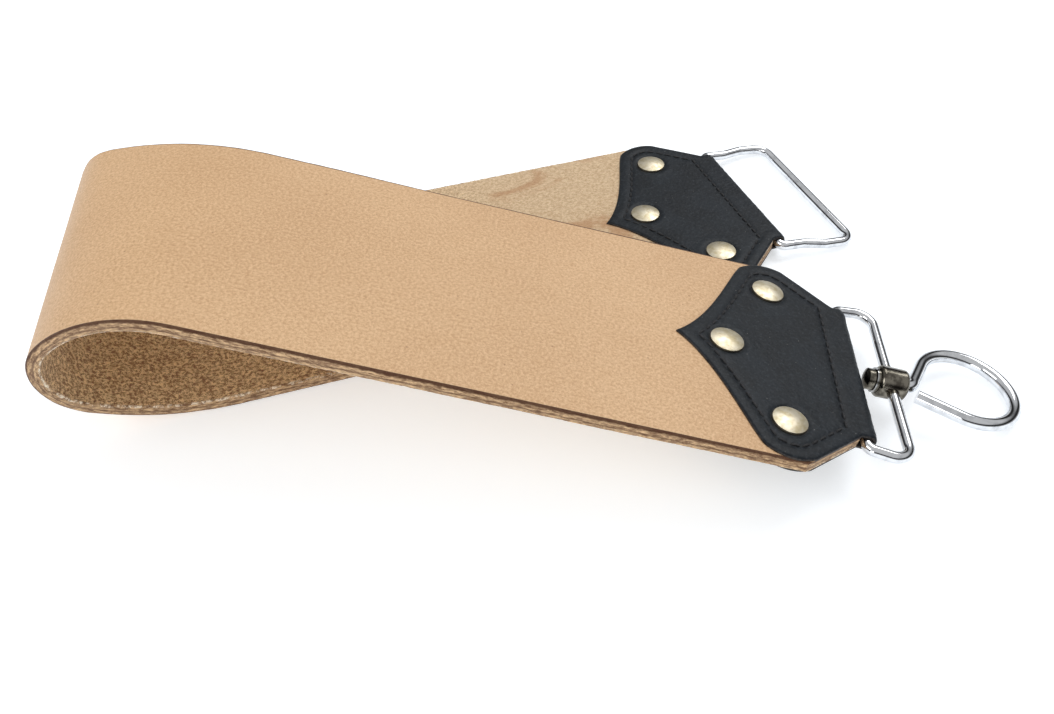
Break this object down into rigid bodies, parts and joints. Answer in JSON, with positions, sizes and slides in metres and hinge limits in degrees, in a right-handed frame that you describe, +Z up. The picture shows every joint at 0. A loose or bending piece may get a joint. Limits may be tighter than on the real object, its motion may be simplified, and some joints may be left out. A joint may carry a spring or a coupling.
{
  "type": "hanging leather strop",
  "caption": "Wide leather strop folded back on itself, with stitched and riveted leather end caps, a swivelling hanging ring on one end and a wire pull loop on the other.",
  "frame": {"origin": "on the resting surface, under the middle of the object's box", "axes": "+X from the fold towards the two ends, along the middle of the V that the legs make seen from above; +Y along the bend line of the fold, towards the rear leg; +Z up"},
  "size_m": [0.2482, 0.1584, 0.0482],
  "materials": {
    "strap_leather": "smooth natural vegetable-tanned grain outside, brown suede flesh side inside",
    "cap_leather": "smooth black leather with a slight sheen",
    "thread": "black waxed thread",
    "rivet_nickel": "warm nickel plate, softly polished",
    "chrome_wire": "bright chrome plate"
  },
  "bodies": {
    "lower_strap": {"strap_lower_leg": "strap_leather", "rear_cap_leather": "cap_leather", "rear_cap_stitching": "thread", "rear_tip_rivet_cap": "rivet_nickel", "rear_tip_rivet_post": "rivet_nickel", "rear_far_rivet_cap": "rivet_nickel", "rear_far_rivet_post": "rivet_nickel", "rear_near_rivet_cap": "rivet_nickel", "rear_near_rivet_post": "rivet_nickel"},
    "bend_1": {"strap_bend_1": "strap_leather"},
    "bend_2": {"strap_bend_2": "strap_leather"},
    "bend_3": {"strap_bend_3": "strap_leather"},
    "bend_4": {"strap_bend_4": "strap_leather"},
    "bend_5": {"strap_bend_5": "strap_leather"},
    "upper_strap": {"strap_upper_leg": "strap_leather", "front_cap_leather": "cap_leather", "front_cap_stitching": "thread", "front_tip_rivet_cap": "rivet_nickel", "front_tip_rivet_post": "rivet_nickel", "front_far_rivet_cap": "rivet_nickel", "front_far_rivet_post": "rivet_nickel", "front_near_rivet_cap": "rivet_nickel", "front_near_rivet_post": "rivet_nickel"},
    "front_hardware": {"front_frame": "chrome_wire"},
    "ring": {"swivel_ring": "chrome_wire", "swivel_washer": "chrome_wire"},
    "rear_hardware": {"rear_frame": "chrome_wire"}
  },
  "joints": [
    {"name": "strap_unfold_1", "type": "hinge", "parent": "lower_strap", "child": "bend_1", "pos_m": [-0.07952, 0.01252, 0.00001], "axis": [0, -1, 0], "range_deg": [0, 14.46]},
    {"name": "strap_unfold_2", "type": "hinge", "parent": "bend_1", "child": "bend_2", "pos_m": [-0.11455, 0.00478, 0.00852], "axis": [0, -1, 0], "range_deg": [0, 40.09]},
    {"name": "strap_unfold", "type": "hinge", "parent": "bend_2", "child": "bend_3", "pos_m": [-0.12377, 0.00134, 0.02116], "axis": [0, -1, 0], "range_deg": [0, 51.27]},
    {"name": "strap_unfold_4", "type": "hinge", "parent": "bend_3", "child": "bend_4", "pos_m": [-0.11961, -0.0021, 0.03624], "axis": [0, -1, 0], "range_deg": [0, 40.8]},
    {"name": "strap_unfold_5", "type": "hinge", "parent": "bend_4", "child": "bend_5", "pos_m": [-0.10432, -0.00605, 0.04641], "axis": [0, -1, 0], "range_deg": [0, 30.31]},
    {"name": "strap_unfold_6", "type": "hinge", "parent": "bend_5", "child": "upper_strap", "pos_m": [-0.08598, -0.01, 0.04744], "axis": [0, -1, 0], "range_deg": [0, 15.16]},
    {"name": "front_frame_swing", "type": "hinge", "parent": "upper_strap", "child": "front_hardware", "pos_m": [0.0768, -0.04545, 0.01115], "axis": [-0.2034, -0.9781, 0.0432], "range_deg": [-95.38, 94.62]},
    {"name": "ring_swivel", "type": "hinge", "parent": "front_hardware", "child": "ring", "pos_m": [0.08734, -0.04774, 0.00898], "axis": [0.9581, -0.2079, -0.1968], "continuous": true},
    {"name": "rear_frame_swing", "type": "hinge", "parent": "lower_strap", "child": "rear_hardware", "pos_m": [0.07499, 0.04537, 0.00394], "axis": [0.2079, -0.9781, 0.0031], "range_deg": [-88.78, 101.22]}
  ],
  "couplings": [
    {"joint": "strap_unfold_1", "follows": "strap_unfold", "ratio": 0.28155},
    {"joint": "strap_unfold_2", "follows": "strap_unfold", "ratio": 0.78155},
    {"joint": "strap_unfold_4", "follows": "strap_unfold", "ratio": 0.79537},
    {"joint": "strap_unfold_5", "follows": "strap_unfold", "ratio": 0.59074},
    {"joint": "strap_unfold_6", "follows": "strap_unfold", "ratio": 0.29537}
  ]
}
